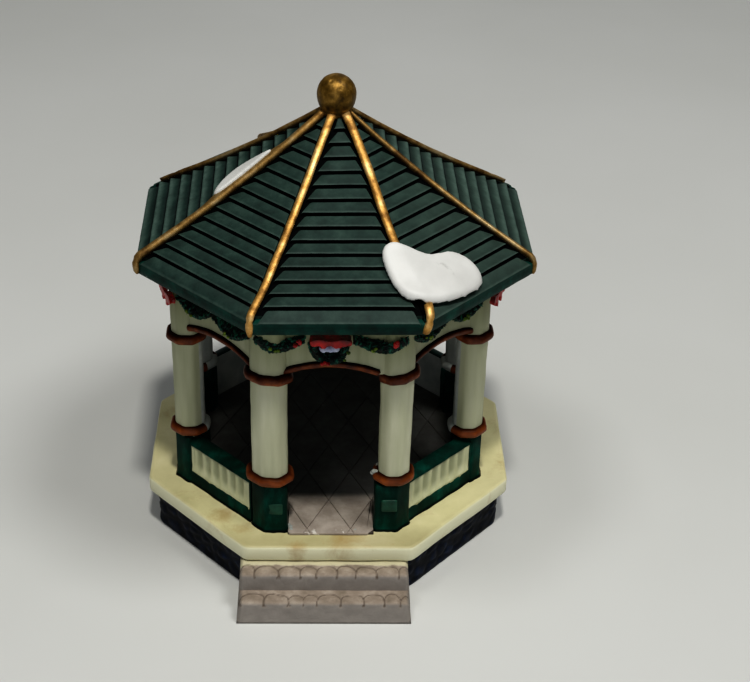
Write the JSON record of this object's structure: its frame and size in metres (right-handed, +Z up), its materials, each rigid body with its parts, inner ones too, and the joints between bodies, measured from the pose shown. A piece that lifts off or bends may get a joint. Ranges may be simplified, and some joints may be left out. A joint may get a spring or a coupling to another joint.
{
  "type": "tabletop ornamental gazebo",
  "caption": "Tabletop ornamental gazebo: stepped octagonal base, columns, low fluted walls, arched frieze and a boarded bell-cast roof with gilt hips and ball finial.",
  "frame": {"origin": "on the axis of the octagon, in the plane of the flat underside that stands on the table", "axes": "+Z up, -Y towards the front steps and the open entrance bay, +X to the right as seen from the front"},
  "size_m": [0.115, 0.1251, 0.1418],
  "materials": {
    "dark_stone": "satin paint",
    "cream_paint": "satin paint, stained",
    "cobble_grey": "matte paint",
    "green_paint": "satin paint",
    "panel_cream": "satin paint",
    "column_cream": "satin paint",
    "brown_paint": "satin paint",
    "roof_green": "matte paint, dry-brushed",
    "gilt_paint": "metallic paint",
    "snow_white": "gloss glaze",
    "wreath_green": "satin paint",
    "ribbon_red": "satin paint"
  },
  "bodies": {
    "root": {"foundation": "dark_stone", "platform": "cream_paint", "paving": "cobble_grey", "lower_step": "cobble_grey", "upper_step": "cobble_grey", "corner_posts": "green_paint", "low_wall_1": "green_paint", "low_wall_2": "green_paint", "low_wall_3": "green_paint", "low_wall_4": "green_paint", "low_wall_5": "green_paint", "low_wall_6": "green_paint", "low_wall_7": "green_paint", "fluted_panels": "panel_cream", "column_1": "column_cream", "column_2": "column_cream", "column_3": "column_cream", "column_4": "column_cream", "column_5": "column_cream", "column_6": "column_cream", "column_7": "column_cream", "column_8": "column_cream", "collars": "brown_paint", "arch_panel_1": "column_cream", "arch_panel_2": "column_cream", "arch_panel_3": "column_cream", "arch_panel_4": "column_cream", "arch_panel_5": "column_cream", "arch_panel_6": "column_cream", "arch_panel_7": "column_cream", "arch_panel_8": "column_cream", "arch_trims": "brown_paint", "roof_panel_1": "roof_green", "roof_panel_2": "roof_green", "roof_panel_3": "roof_green", "roof_panel_4": "roof_green", "roof_panel_5": "roof_green", "roof_panel_6": "roof_green", "roof_panel_7": "roof_green", "roof_panel_8": "roof_green", "hip_ribs": "gilt_paint", "finial": "gilt_paint", "garlands": "wreath_green", "bows": "ribbon_red", "snow_patches": "snow_white"}
  },
  "joints": []
}
